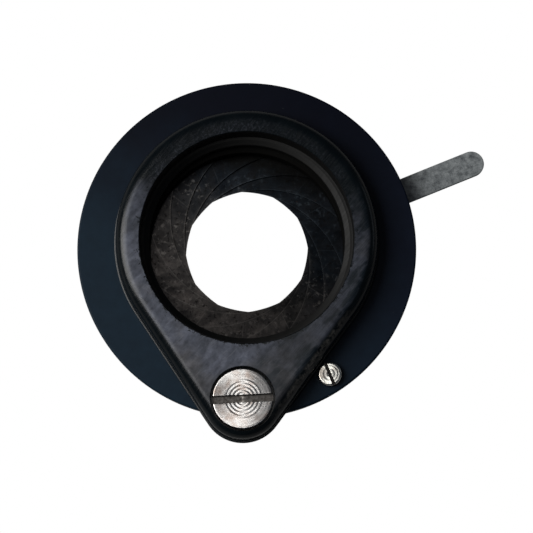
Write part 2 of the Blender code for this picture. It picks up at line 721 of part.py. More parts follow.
iris_housing()
rear_cover()
cover_grub_screws()
cam_ring()
cam_wave_spring()
iris_lever()
lever_screws()
iris_leaves()
filter_holder()
pivot_screw()
pivot_washers()
stop_screw()
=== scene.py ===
"""Looks of the iris diaphragm unit: fine meshes and worked-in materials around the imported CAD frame."""
import json
import math

import bmesh
import bpy
from mathutils import Matrix, Vector


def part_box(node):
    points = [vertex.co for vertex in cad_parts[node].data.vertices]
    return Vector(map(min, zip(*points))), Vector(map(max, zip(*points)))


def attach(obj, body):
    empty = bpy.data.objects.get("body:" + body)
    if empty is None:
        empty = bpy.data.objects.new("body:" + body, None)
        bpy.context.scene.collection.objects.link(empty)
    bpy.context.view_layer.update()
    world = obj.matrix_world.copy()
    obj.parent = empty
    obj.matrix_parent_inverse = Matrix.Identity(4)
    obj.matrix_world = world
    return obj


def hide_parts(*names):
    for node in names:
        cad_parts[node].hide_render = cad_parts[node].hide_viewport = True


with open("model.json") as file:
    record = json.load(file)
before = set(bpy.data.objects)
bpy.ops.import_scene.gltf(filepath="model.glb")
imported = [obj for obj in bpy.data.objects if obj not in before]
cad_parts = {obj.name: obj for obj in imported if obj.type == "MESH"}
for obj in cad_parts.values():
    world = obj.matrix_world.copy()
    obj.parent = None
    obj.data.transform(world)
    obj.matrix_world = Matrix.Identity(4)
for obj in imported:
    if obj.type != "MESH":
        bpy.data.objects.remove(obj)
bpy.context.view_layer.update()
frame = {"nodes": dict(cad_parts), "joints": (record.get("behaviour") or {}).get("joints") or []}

MM = 0.001

# ---------------------------------------------------------------- places, read from the frame


def middle(node):
    low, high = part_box(node)
    return (low + high) / 2


IRIS = middle("iris_housing")
PIVOT = middle("pivot_screw")
STOP = middle("stop_screw")
DISC_FRONT_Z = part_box("iris_housing")[1].z
DISC_RADIUS = (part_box("iris_housing")[1].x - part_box("iris_housing")[0].x) / 2
HOLDER_BOTTOM_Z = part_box("filter_holder")[0].z
HOLDER_TOP_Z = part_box("filter_holder")[1].z
CUP_RIM_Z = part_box("iris_housing")[0].z
JOINTS = {joint["name"]: joint for joint in frame["joints"]}

# Dimensions that the boxes don't give, as the CAD has them
CUP_FLOOR_Z = DISC_FRONT_Z - 2.1 * MM
CUP_RADIUS = 24.9 * MM
CUP_BORE_RADIUS = 23.1 * MM
GRUB_HOLE_RADIUS = 0.55 * MM
DRILL_LENGTH = 4.0 * MM
LIGHT_BORE_RADIUS = 14.85 * MM
LEVER_AZIMUTH = math.radians(23.6)
LEVER_REACH = 38.2 * MM
LEVER_WIDTH = 4.0 * MM
LEVER_HOLE_RADIUS = 0.6 * MM
LEVER_HOLE_PLACE = (20.9 * MM, 3.0 * MM)
HOLDER_RING_RADIUS = 20.3 * MM
HOLDER_TAIL_RADIUS = 6.3 * MM
HOLDER_REACH = 24.45 * MM
HOLDER_FOOT_STEP = 0.4 * MM
HOLDER_FOOT_HEIGHT = 0.45 * MM
HOLDER_SHOULDER = 1.9 * MM
RECESS_RADIUS = 16.2 * MM
RECESS_DEPTH = 3.5 * MM
SEAT_INNER_RADIUS = 15.75 * MM
SEAT_CHAMFER = 0.4 * MM
HOLDER_BORE_RADIUS = 14.95 * MM
HEAD_RECESS_RADIUS = 4.85 * MM
HEAD_RECESS_FLOOR = 2.2 * MM
PIVOT_HEAD_RADIUS = 4.55 * MM
PIVOT_HEAD_HEIGHT = 2.0 * MM
PIVOT_SHOULDER_RADIUS = 2.4 * MM
PIVOT_SLOT = (1.2 * MM, 0.9 * MM)
PIVOT_SLOT_DEG = 4.3
GROOVE_PITCH = 0.54 * MM
STOP_HEAD_RADIUS = 1.8 * MM
STOP_SLOT = (0.5 * MM, 0.6 * MM)
STOP_SLOT_DEG = -65.7
LEAF_COUNT = 12
LEAF_PIVOT_CIRCLE = 19.8 * MM
LEAF_INNER_RADIUS = 17.0 * MM
LEAF_OUTER_RADIUS = 22.6 * MM
LEAF_SPAN = math.radians(130.0)
LEAF_REST = math.radians(22.4)
LEAF_PHASE = math.radians(8.3)
LEAF_TOP_Z = CUP_FLOOR_Z - 0.12 * MM
LEAF_DROP = 2.4 * MM
LEAF_MIDDLE_SHARE = 0.4
LEAF_THICKNESS = 0.04 * MM
LEAF_PIN_RADIUS = 0.5 * MM

# ---------------------------------------------------------------- camera, floor and light

CAMERA_DISTANCE = 0.300
CAMERA_TILT = math.radians(9.3)
CAMERA_ROLL = math.radians(1.33)
FRAME_WIDTH_AT_DISC = 81.7 * MM
AIM_RIGHT = 3.02 * MM
AIM_UP = -2.92 * MM
SENSOR = 36.0
FLOOR_SIZE = 3.0
FLOOR_DROP = 0.05 * MM


def make_camera():
    target = Vector((IRIS.x, IRIS.y, DISC_FRONT_Z))
    back = Vector((0.0, -math.sin(CAMERA_TILT), math.cos(CAMERA_TILT)))
    up = Vector((0.0, math.cos(CAMERA_TILT), math.sin(CAMERA_TILT)))
    right = up.cross(back)
    turn = Matrix.Rotation(CAMERA_ROLL, 3, back)
    right, up = turn @ right, turn @ up
    target += right * AIM_RIGHT + up * AIM_UP
    data = bpy.data.cameras.new("camera")
    data.sensor_width = SENSOR
    data.lens = SENSOR * CAMERA_DISTANCE / FRAME_WIDTH_AT_DISC
    data.clip_start = 0.01
    data.clip_end = 5.0
    camera = bpy.data.objects.new("camera", data)
    bpy.context.scene.collection.objects.link(camera)
    basis = Matrix((right, up, back)).transposed().to_4x4()
    camera.matrix_world = Matrix.Translation(target + back * CAMERA_DISTANCE) @ basis
    bpy.context.scene.camera = camera


def area_light(name, azimuth_deg, off_vertical_deg, distance, size, power, colour):
    """A softbox that faces the disc, at an angle off the vertical, on a compass side of it."""
    data = bpy.data.lights.new(name, "AREA")
    data.shape = "RECTANGLE"
    data.size, data.size_y = size
    data.energy = power
    data.color = colour
    light = bpy.data.objects.new(name, data)
    bpy.context.scene.collection.objects.link(light)
    azimuth, off = math.radians(azimuth_deg), math.radians(off_vertical_deg)
    away = Vector((math.cos(azimuth) * math.sin(off), math.sin(azimuth) * math.sin(off), math.cos(off)))
    centre = Vector((IRIS.x, IRIS.y, DISC_FRONT_Z))
    light.location = centre + away * distance
    light.rotation_euler = away.to_track_quat("Z", "Y").to_euler()


def make_light():
    area_light("window_left", 176.0, 42.0, 0.55, (0.30, 0.50), 3.4, (1.0, 0.995, 0.98))
    area_light("sheen_overhead", 180.0, 2.0, 0.42, (0.10, 0.10), 0.060, (1.0, 0.99, 0.98))
    area_light("rim_right", 20.0, 78.0, 0.60, (0.30, 0.10), 0.06, (0.85, 0.93, 1.0))
    world = bpy.data.worlds.new("studio")
    bpy.context.scene.world = world
    world.use_nodes = True
    nodes, links = world.node_tree.nodes, world.node_tree.links
    shown = nodes["Background"]
    shown.inputs["Color"].default_value = (0.96, 0.965, 0.97, 1.0)
    shown.inputs["Strength"].default_value = 1.0
    room = nodes.new("ShaderNodeBackground")
    room.inputs["Color"].default_value = (0.10, 0.12, 0.15, 1.0)
    room.inputs["Strength"].default_value = 0.28
    path = nodes.new("ShaderNodeLightPath")
    pick = nodes.new("ShaderNodeMixShader")
    links.new(path.outputs["Is Camera Ray"], pick.inputs["Fac"])
    links.new(room.outputs[0], pick.inputs[1])
    links.new(shown.outputs[0], pick.inputs[2])
    links.new(pick.outputs[0], nodes["World Output"].inputs["Surface"])
    bpy.context.scene.view_settings.view_transform = "Standard"


def make_floor():
    bpy.ops.mesh.primitive_plane_add(size=FLOOR_SIZE, location=(IRIS.x, IRIS.y, -FLOOR_DROP))
    floor = bpy.context.active_object
    floor.name = "floor"
    white = bpy.data.materials.new("pale_floor")
    white.use_nodes = True
    nodes, links = white.node_tree.nodes, white.node_tree.links
    nodes.clear()
    card = nodes.new("ShaderNodeBsdfDiffuse")
    card.inputs["Color"].default_value = (0.25, 0.25, 0.25, 1.0)
    glow = nodes.new("ShaderNodeEmission")
    glow.inputs["Color"].default_value = (1.0, 1.0, 1.0, 1.0)
    path = nodes.new("ShaderNodeLightPath")
    pick = nodes.new("ShaderNodeMixShader")
    output = nodes.new("ShaderNodeOutputMaterial")
    links.new(path.outputs["Is Camera Ray"], pick.inputs["Fac"])
    links.new(card.outputs[0], pick.inputs[1])
    links.new(glow.outputs[0], pick.inputs[2])
    below = nodes.new("ShaderNodeNewGeometry")
    clear = nodes.new("ShaderNodeBsdfTransparent")
    open_below = nodes.new("ShaderNodeMixShader")
    links.new(below.outputs["Backfacing"], open_below.inputs["Fac"])
    links.new(pick.outputs[0], open_below.inputs[1])
    links.new(clear.outputs[0], open_below.inputs[2])
    links.new(open_below.outputs[0], output.inputs["Surface"])
    floor.data.materials.append(white)


# ---------------------------------------------------------------- mesh helpers


def polar(radius, angle):
    return Vector((radius * math.cos(angle), radius * math.sin(angle)))


def arc(centre, radius, start, end, steps):
    turn = (end - start) / steps
    return [Vector(centre) + polar(radius, start + turn * i) for i in range(steps + 1)]


def rounded(profile, radii, steps=4, closed=True):
    """The profile's corners eased by arcs: radii holds one radius for each corner, 0 to leave it sharp."""
    points = [Vector(point) for point in profile]
    count = len(points)
    eased = []
    for i, (corner, radius) in enumerate(zip(points, radii)):
        ends = not closed and i in (0, count - 1)
        if radius <= 0.0 or ends:
            eased.append(corner)
            continue
        back = (points[i - 1] - corner).normalized()
        ahead = (points[(i + 1) % count] - corner).normalized()
        half = back.angle(ahead) / 2
        reach = radius / math.tan(half)
        start, end = corner + back * reach, corner + ahead * reach
        centre = corner + (back + ahead).normalized() * (radius / math.sin(half))
        first, last = start - centre, end - centre
        sweep = math.atan2(first.cross(last), first.dot(last))
        for k in range(steps + 1):
            eased.append(centre + Matrix.Rotation(sweep * k / steps, 2) @ first)
    return eased


def new_piece(name, shape, origin=(0.0, 0.0, 0.0)):
    """A mesh object made from a bmesh whose points are measured from origin."""
    mesh = bpy.data.meshes.new(name)
    bmesh.ops.recalc_face_normals(shape, faces=shape.faces)
    shape.to_mesh(mesh)
    shape.free()
    piece = bpy.data.objects.new(name, mesh)
    piece.location = origin
    bpy.context.scene.collection.objects.link(piece)
    return piece


def lathe(name, profile, segments, origin, closed=True):
    """A turned body about Z: profile points are (radius, height), heights in the row frame."""
    shape = bmesh.new()
    rings = []
    for radius, height in profile:
        if radius < 1e-7:
            rings.append([shape.verts.new((0.0, 0.0, height))] * segments)
        else:
            turn = 2 * math.pi / segments
            rings.append(
                [shape.verts.new((*polar(radius, turn * i), height)) for i in range(segments)]
            )
    pairs = list(zip(rings, rings[1:]))
    if closed:
        pairs.append((rings[-1], rings[0]))
    for upper, lower in pairs:
        for i in range(segments):
            k = (i + 1) % segments
            corners = [upper[i], lower[i], lower[k], upper[k]]
            unique = [v for n, v in enumerate(corners) if v not in corners[:n]]
            if len(unique) > 2:
                shape.faces.new(unique)
    return new_piece(name, shape, (origin.x, origin.y, 0.0))


def prism(name, outline, low, high, origin):
    """An outline filled and made solid from low to high."""
    shape = bmesh.new()
    base = shape.faces.new([shape.verts.new((*point, low)) for point in outline])
    grown = bmesh.ops.extrude_face_region(shape, geom=[base])
    top = [item for item in grown["geom"] if isinstance(item, bmesh.types.BMVert)]
    bmesh.ops.translate(shape, verts=top, vec=(0.0, 0.0, high - low))
    return new_piece(name, shape, (origin.x, origin.y, 0.0))


def block(name, size, centre, angle):
    shape = bmesh.new()
    stand = Matrix.Translation(centre) @ Matrix.Rotation(angle, 4, "Z") @ Matrix.Diagonal((*size, 1.0))
    bmesh.ops.create_cube(shape, size=1.0, matrix=stand)
    return new_piece(name, shape)


def carve(piece, tools, operation="DIFFERENCE"):
    """Cuts the tools from the piece, or joins them to it, for good."""
    for tool in tools:
        cut = piece.modifiers.new("cut", "BOOLEAN")
        cut.operation = operation
        cut.object = tool
        cut.solver = "EXACT"
    apply_modifiers(piece)
    for tool in tools:
        bpy.data.objects.remove(tool, do_unlink=True)
    return piece


def apply_modifiers(piece):
    bpy.context.view_layer.update()
    graph = bpy.context.evaluated_depsgraph_get()
    mesh = bpy.data.meshes.new_from_object(piece.evaluated_get(graph))
    piece.modifiers.clear()
    piece.data = mesh


def soften(piece, width, angle_deg=35.0, segments=2):
    """A small bevel on every sharp edge, so that edges catch the light."""
    bevel = piece.modifiers.new("soft_edges", "BEVEL")
    bevel.width = width
    bevel.segments = segments
    bevel.limit_method = "ANGLE"
    bevel.angle_limit = math.radians(angle_deg)
    bevel.harden_normals = False
    bevel.use_clamp_overlap = True
    apply_modifiers(piece)


def shade(piece, sharp_deg=30.0):
    piece.data.shade_smooth()
    piece.data.set_sharp_from_angle(angle=math.radians(sharp_deg))
    weighted = piece.modifiers.new("flat_faces_stay_flat", "WEIGHTED_NORMAL")
    weighted.keep_sharp = True
    weighted.weight = 90


def place(piece, body, slot, material, *nodes):
    piece.data.materials.clear()
    piece.data.materials.append(material)
    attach(piece, body)
    if nodes:
        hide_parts(*nodes)
    return piece


# ---------------------------------------------------------------- materials


class Finish:
    """A Principled material with short calls for the nodes that vary it."""

    def __init__(self, name, metallic=0.0, roughness=0.5, specular=0.5):
        self.material = bpy.data.materials.new(name)
        self.material.use_nodes = True
        self.tree = self.material.node_tree
        self.shader = self.tree.nodes["Principled BSDF"]
        self.shader.inputs["Metallic"].default_value = metallic
        self.shader.inputs["Roughness"].default_value = roughness
        self.shader.inputs["Specular IOR Level"].default_value = specular
        self.place = self.node("ShaderNodeTexCoord").outputs["Object"]

    def node(self, kind, **settings):
        made = self.tree.nodes.new(kind)
        for key, value in settings.items():
            setattr(made, key, value)
        return made

    def join(self, source, socket):
        if isinstance(source, (int, float)):
            socket.default_value = source
        elif isinstance(source, tuple):
            socket.default_value = (*source, 1.0) if len(source) == 3 else source
        else:
            self.tree.links.new(source, socket)

    def noise(self, size, detail=4.0, roughness=0.6, where=None, distortion=0.0):
        """Noise whose features are about size across, in metres."""
        made = self.node("ShaderNodeTexNoise")
        self.join(where or self.place, made.inputs["Vector"])
        made.inputs["Scale"].default_value = 1.0 / size
        made.inputs["Detail"].default_value = detail
        made.inputs["Roughness"].default_value = roughness
        made.inputs["Distortion"].default_value = distortion
        return made.outputs["Fac"]

    def cells(self, size):
        made = self.node("ShaderNodeTexVoronoi")
        self.join(self.place, made.inputs["Vector"])
        made.inputs["Scale"].default_value = 1.0 / size
        return made.outputs["Distance"]

    def stretched(self, scale, turn_deg=0.0):
        """Coordinates turned first and scaled after, so that streaks run along turn_deg."""
        made = self.node("ShaderNodeMapping", vector_type="TEXTURE")
        self.join(self.place, made.inputs["Vector"])
        made.inputs["Scale"].default_value = tuple(1.0 / share for share in scale)
        made.inputs["Rotation"].default_value = (0.0, 0.0, math.radians(turn_deg))
        return made.outputs["Vector"]

    def spread(self, value, low, high, to_low=0.0, to_high=1.0):
        made = self.node("ShaderNodeMapRange")
        self.join(value, made.inputs["Value"])
        made.inputs["From Min"].default_value = low
        made.inputs["From Max"].default_value = high
        made.inputs["To Min"].default_value = to_low
        made.inputs["To Max"].default_value = to_high
        return made.outputs["Result"]

    def maths(self, operation, a, b=0.0):
        made = self.node("ShaderNodeMath", operation=operation)
        self.join(a, made.inputs[0])
        self.join(b, made.inputs[1])
        return made.outputs[0]

    def mix(self, share, a, b):
        made = self.node("ShaderNodeMix", data_type="RGBA")
        self.join(share, made.inputs["Factor"])
        self.join(a, made.inputs["A"])
        self.join(b, made.inputs["B"])
        return made.outputs["Result"]

    def part(self, axis):
        split = self.node("ShaderNodeSeparateXYZ")
        self.join(self.place, split.inputs[0])
        return split.outputs[axis]

    def radius(self):
        flat = self.node("ShaderNodeVectorMath", operation="MULTIPLY")
        self.join(self.place, flat.inputs[0])
        flat.inputs[1].default_value = (1.0, 1.0, 0.0)
        length = self.node("ShaderNodeVectorMath", operation="LENGTH")
        self.join(flat.outputs[0], length.inputs[0])
        return length.outputs["Value"]

    def along(self, degrees):
        """How far a point lies towards a compass direction of its own object, in metres."""
        dot = self.node("ShaderNodeVectorMath", operation="DOT_PRODUCT")
        self.join(self.place, dot.inputs[0])
        dot.inputs[1].default_value = (*polar(1.0, math.radians(degrees)), 0.0)
        return dot.outputs["Value"]

    def attribute(self, name):
        return self.node("ShaderNodeAttribute", attribute_name=name).outputs["Fac"]

    def colour(self, source):
        self.join(source, self.shader.inputs["Base Color"])

    def rough(self, source):
        self.join(source, self.shader.inputs["Roughness"])

    def metal(self, source):
        self.join(source, self.shader.inputs["Metallic"])

    def bump(self, height, distance, strength=1.0):
        made = self.node("ShaderNodeBump")
        made.inputs["Strength"].default_value = strength
        made.inputs["Distance"].default_value = distance
        self.join(height, made.inputs["Height"])
        if self.shader.inputs["Normal"].is_linked:
            self.join(self.shader.inputs["Normal"].links[0].from_socket, made.inputs["Normal"])
        self.join(made.outputs["Normal"], self.shader.inputs["Normal"])


def disc_black():
    """Navy-black anodised plate.

    Its colour is laid out in the plate's own space: teal and lighter at the near left, purple and darker at
    the far right, a painted sheen, and darker towards the far edge and in the bore, painted shade.
    """
    look = Finish("navy_black_anodised", 0.0, 0.45, 0.066)
    cloud = look.noise(9 * MM, 5.0)
    drift = look.spread(cloud, 0.3, 0.7, -4 * MM, 4 * MM)
    # painted sheen: lighter teal towards the near left, darker purple towards the far right
    side = look.spread(look.maths("ADD", look.along(50.0), drift), -15 * MM, 14 * MM)
    # painted shade: darker towards the far edge
    far = look.spread(look.maths("ADD", look.part("Y"), drift), 3 * MM, 20 * MM, 0.0, 0.68)
    teal = look.mix(cloud, (0.0066, 0.0160, 0.0270), (0.0092, 0.0195, 0.0320))
    purple = look.mix(cloud, (0.0048, 0.0074, 0.0158), (0.0066, 0.0094, 0.0190))
    base = look.mix(far, look.mix(side, teal, purple), (0.0004, 0.0004, 0.0030))
    dark_tone = look.spread(look.noise(1.6 * MM, 6.0, 0.7), 0.35, 0.65, 0.82, 1.0)
    base = look.mix(dark_tone, (0.0010, 0.0012, 0.0020), base)
    dust = look.spread(look.cells(1.7 * MM), 0.045, 0.030)
    dust = look.maths("MULTIPLY", dust, look.spread(look.noise(2.3 * MM, 2.0), 0.54, 0.60))
    base = look.mix(look.maths("MULTIPLY", dust, 0.8), base, (0.09, 0.10, 0.11))
    # painted shade: the bore and the face just round it go near black, and rougher
    bore_shade = look.spread(look.radius(), LIGHT_BORE_RADIUS + 1.05 * MM, LIGHT_BORE_RADIUS + 0.95 * MM)
    look.colour(look.mix(bore_shade, base, (0.0010, 0.0009, 0.0007)))
    grain = look.noise(0.09 * MM, 2.0)
    rub = look.noise(1.0, 3.0, where=look.stretched((300.0, 2200.0, 800.0), 35.0))
    rough = look.spread(look.maths("ADD", cloud, look.maths("MULTIPLY", rub, 0.5)), 0.5, 1.1, 0.38, 0.50)
    look.rough(look.maths("ADD", rough, look.maths("MULTIPLY", bore_shade, 0.35)))
    look.bump(grain, 0.006 * MM, 0.6)
    return look.material


def holder_black():
    """Gloss black enamel, rubbed dull and bluish on its left and tail, chipped round the recess's lip; a
    painted sheen fades the rubbing to the right and far side.

    The recess is painted near black as painted shade, with a painted highlight line on its ledge at the far
    right.
    """
    look = Finish("gloss_black_enamel", 0.0, 0.2, 0.24)
    height, radius = look.part("Z"), look.radius()
    across, ahead = look.part("X"), look.part("Y")
    on_top = look.spread(height, HOLDER_TOP_Z - 0.16 * MM, HOLDER_TOP_Z - 0.02 * MM)
    inside = look.spread(radius, RECESS_RADIUS + 0.10 * MM, RECESS_RADIUS + 0.02 * MM)
    ragged = look.noise(0.9 * MM, 6.0, 0.72, distortion=0.6)
    near_side = look.spread(ahead, 2 * MM, -6 * MM, 0.12 * MM, 0.42 * MM)
    nibbled = look.maths("MULTIPLY", look.spread(ragged, 0.42, 0.66), near_side)
    edge = look.maths("ADD", nibbled, RECESS_RADIUS)
    past_lip = look.spread(look.maths("SUBTRACT", radius, edge), -0.04 * MM, 0.05 * MM)
    near_lip = look.spread(radius, RECESS_RADIUS + 1.6 * MM, RECESS_RADIUS + 0.2 * MM, 0.74, 0.56)
    chip = look.maths("SUBTRACT", look.noise(0.75 * MM, 5.0, 0.7, distortion=0.5), near_lip)
    chip = look.spread(chip, 0.0, 0.02)
    cloud = look.noise(4.5 * MM, 6.0, 0.62)
    drift = look.spread(look.noise(7 * MM, 4.0), 0.3, 0.7, -4 * MM, 4 * MM)
    stroke = look.noise(1.0, 5.0, 0.6, where=look.stretched((170.0, 900.0, 400.0), 50.0))
    smear = look.noise(1.0, 4.0, 0.6, where=look.stretched((170.0, 430.0, 400.0), 47.0))
    # painted shade: darker towards the right, used for the rubbing and the stains below
    right = look.spread(look.maths("ADD", across, drift), 0.0, 8 * MM)
    speckle = look.spread(look.noise(0.35 * MM, 4.0, 0.75), 0.50, 0.62, 0.04, 0.30)
    by_lip = look.maths("MULTIPLY", speckle, look.spread(radius, 18.4 * MM, 16.9 * MM, 0.12, 1.0))
    # painted sheen: lighter away from the far side, towards the near side
    near_side_sheen = look.spread(look.maths("ADD", ahead, drift), 10 * MM, 1 * MM)
    # wear, with painted sheen and shade laid over it: the rubbing fades to the right, the far side and the
    # tail's end
    worn = look.maths("MULTIPLY", on_top, past_lip)
    for share in (
        look.spread(chip, 0.0, 1.0, 1.0, 0.05),
        look.spread(cloud, 0.30, 0.55, 0.50, 1.0),
        look.spread(stroke, 0.32, 0.60, 0.62, 1.0),
        look.maths("MAXIMUM", near_side_sheen, by_lip),
        look.spread(right, 0.0, 1.0, 1.0, 0.42),
        look.spread(ahead, -19 * MM, -30 * MM, 1.0, 0.75),
    ):
        worn = look.maths("MULTIPLY", worn, share)
    black = look.mix(look.spread(cloud, 0.4, 0.7), (0.0016, 0.0028, 0.0038), (0.0030, 0.0050, 0.0064))
    grain = look.spread(look.noise(1.1 * MM, 6.0, 0.72), 0.32, 0.68)
    rubbed = look.mix(grain, (0.048, 0.053, 0.074), (0.124, 0.134, 0.172))
    # stains, with painted shade: the smears darken more towards the right
    stain_and_right_shade = look.maths("MULTIPLY", look.spread(smear, 0.48, 0.56), look.spread(right, 0.0, 1.0, 0.25, 0.9))
    tail_grey = look.mix(grain, (0.036, 0.036, 0.041), (0.104, 0.103, 0.114))
    rubbed = look.mix(look.spread(look.maths("ADD", radius, drift), 18 * MM, 22 * MM), rubbed, tail_grey)
    rubbed = look.mix(stain_and_right_shade, rubbed, (0.010, 0.017, 0.025))
    fine = look.noise(1.0, 2.0, 0.5, where=look.stretched((240.0, 4200.0, 900.0), 44.0))
    rubbed = look.mix(look.spread(fine, 0.61, 0.72, 0.0, 0.35), rubbed, (0.200, 0.205, 0.225))
    coat = look.mix(worn, black, rubbed)
    # wear with a painted highlight: a ragged brownish-grey patch on the lower right flank
    flank_wear_and_highlight = look.maths(
        "MULTIPLY",
        look.spread(height, HOLDER_TOP_Z - 1.00 * MM, HOLDER_TOP_Z - 0.55 * MM),
        look.spread(height, HOLDER_TOP_Z - 0.10 * MM, HOLDER_TOP_Z - 0.30 * MM),
    )
    on_right, is_near = look.spread(across, 4 * MM, 8 * MM), look.spread(ahead, -10 * MM, -15 * MM)
    flank_wear_and_highlight = look.maths("MULTIPLY", flank_wear_and_highlight, look.maths("MULTIPLY", on_right, is_near))
    flank_wear_and_highlight = look.maths("MULTIPLY", flank_wear_and_highlight, look.spread(ragged, 0.42, 0.60))
    coat = look.mix(look.maths("MULTIPLY", flank_wear_and_highlight, 0.8), coat, (0.085, 0.080, 0.074))
    seat_z = HOLDER_TOP_Z - RECESS_DEPTH
    # painted highlight: a light line on the ledge's inner edge, towards the far right only
    on_ledge = look.maths(
        "MULTIPLY",
        look.spread(height, seat_z - 0.32 * MM, seat_z - 0.20 * MM),
        look.spread(height, seat_z + 0.05 * MM, seat_z),
    )
    by_bore = look.spread(radius, HOLDER_BORE_RADIUS + 0.30 * MM, HOLDER_BORE_RADIUS + 0.12 * MM, 0.02, 1.0)
    ledge_highlight = look.maths("MULTIPLY", by_bore, look.spread(look.along(60.0), 1 * MM, 9 * MM))
    ledge_highlight = look.maths("MULTIPLY", on_ledge, ledge_highlight)
    # painted shade: the recess walls and ledge go near black, apart from the painted highlight line
    recess_shade_and_ledge_highlight = look.mix(ledge_highlight, (0.0006, 0.0005, 0.0003), (0.030, 0.030, 0.029))
    look.colour(look.mix(inside, coat, recess_shade_and_ledge_highlight))
    scratch = look.noise(1.0, 2.0, where=look.stretched((260.0, 4200.0, 900.0), 52.0))
    gloss = look.spread(scratch, 0.35, 0.7, 0.18, 0.30)
    dull = look.spread(look.noise(0.7 * MM, 4.0), 0.35, 0.7, 0.30, 0.44)
    blend = look.node("ShaderNodeMix", data_type="FLOAT")
    look.join(worn, blend.inputs["Factor"])
    look.join(gloss, blend.inputs["A"])
    look.join(dull, blend.inputs["B"])
    look.rough(look.maths("ADD", blend.outputs["Result"], look.maths("MULTIPLY", inside, 0.35)))
    look.bump(look.noise(0.9 * MM, 3.0), 0.010 * MM, 0.5)
    look.bump(worn, 0.008 * MM, -0.5)
    return look.material


def leaf_steel(seed, pivot, turn):
    """Blued spring steel: one layout of colour lies over the whole fan of leaves as they rest.

    It is dark blue at the far right and lighter brown-grey at the near left, a painted sheen, and nearly
    black at the far edge, a painted shadow, with stains, pits, rust and scratches. seed is the leaf's number,
    and turns its own streaks.
    """
    look = Finish(f"blued_leaf_steel_{seed:02d}", 0.85, 0.4, 0.18)
    rest = look.node("ShaderNodeMapping")
    look.join(look.place, rest.inputs["Vector"])
    rest.inputs["Location"].default_value = (pivot[0] - IRIS.x, pivot[1] - IRIS.y, 0.0)
    rest.inputs["Rotation"].default_value = (0.0, 0.0, turn)
    look.place = rest.outputs["Vector"]
    cloud = look.noise(2.6 * MM, 6.0, 0.66)
    drift = look.spread(look.noise(4.5 * MM, 4.0), 0.3, 0.7, -2.5 * MM, 2.5 * MM)
    # painted sheen: the tint runs from a dark blue at the far right to lighter brown-grey and ruddy at the
    # near left
    near = look.maths("ADD", look.along(235.0), drift)
    blue = look.mix(look.spread(cloud, 0.35, 0.65), (0.0022, 0.0034, 0.0055), (0.0100, 0.0135, 0.0180))
    brown = look.mix(look.spread(cloud, 0.36, 0.64), (0.014, 0.0135, 0.0135), (0.046, 0.042, 0.040))
    ruddy = look.mix(look.spread(cloud, 0.36, 0.64), (0.026, 0.023, 0.022), (0.094, 0.083, 0.077))
    tint = look.mix(look.spread(near, -5.0 * MM, 4.0 * MM), blue, brown)
    tint = look.mix(look.spread(near, 4.0 * MM, 13.0 * MM), tint, ruddy)
    smoke = look.spread(look.noise(1.7 * MM, 5.0, 0.7), 0.42, 0.62)
    tint = look.mix(look.maths("MULTIPLY", smoke, 0.45), tint, (0.0075, 0.0085, 0.0100))
    own = look.noise(1.0, 3.0, 0.6, where=look.stretched((230.0, 700.0, 400.0), 31.0 * seed))
    tint = look.mix(look.spread(own, 0.42, 0.62, 0.0, 0.45), tint, (0.010, 0.010, 0.011))
    stains = look.spread(look.noise(0.9 * MM, 6.0, 0.72, distortion=0.3), 0.56, 0.66)
    # painted sheen: the pale colour of stains, scratches and edges is lighter at the near left
    pale = look.mix(look.spread(near, -8.0 * MM, 0.0), (0.040, 0.050, 0.060), (0.130, 0.120, 0.112))
    tint = look.mix(look.maths("MULTIPLY", stains, 0.60), tint, pale)
    pits = look.spread(look.noise(0.60 * MM, 5.0, 0.74), 0.555, 0.63)
    tint = look.mix(look.maths("MULTIPLY", pits, 0.85), tint, (0.0035, 0.0030, 0.0028))
    rust = look.spread(look.noise(1.6 * MM, 6.0, 0.75, distortion=0.4), 0.65, 0.72)
    tint = look.mix(look.maths("MULTIPLY", rust, 0.8), tint, (0.070, 0.030, 0.016))
    lines = look.noise(1.0, 2.0, 0.5, where=look.stretched((190.0, 7500.0, 900.0), 20.0 + 31.0 * seed))
    more = look.noise(1.0, 2.0, 0.5, where=look.stretched((220.0, 7000.0, 900.0), 47.0 * seed + 70.0))
    scratch = look.maths("MAXIMUM", look.spread(lines, 0.68, 0.78), look.spread(more, 0.70, 0.80))
    tint = look.mix(look.maths("MULTIPLY", scratch, 0.32), tint, pale)
    edge = look.maths("MULTIPLY", look.attribute("edge"), look.spread(cloud, 0.35, 0.6, 0.12, 0.55))
    tint = look.mix(edge, tint, pale)
    # painted shadow: near black towards the far edge, where the recess wall's shade falls on the resting fan
    ahead = look.maths("ADD", look.along(75.0), look.maths("MULTIPLY", drift, 0.3))
    far = look.spread(ahead, 10.0 * MM, 13.6 * MM, 0.0, 0.85)
    look.colour(look.mix(far, tint, (0.0012, 0.0010, 0.0006)))
    look.metal(look.spread(rust, 0.0, 1.0, 0.85, 0.2))
    rough = look.spread(look.noise(1.1 * MM, 5.0), 0.3, 0.75, 0.28, 0.40)
    look.rough(look.maths("ADD", rough, look.maths("MULTIPLY", rust, 0.3)))
    look.bump(look.maths("ADD", scratch, look.noise(0.35 * MM, 3.0)), 0.006 * MM, 0.35)
    return look.material


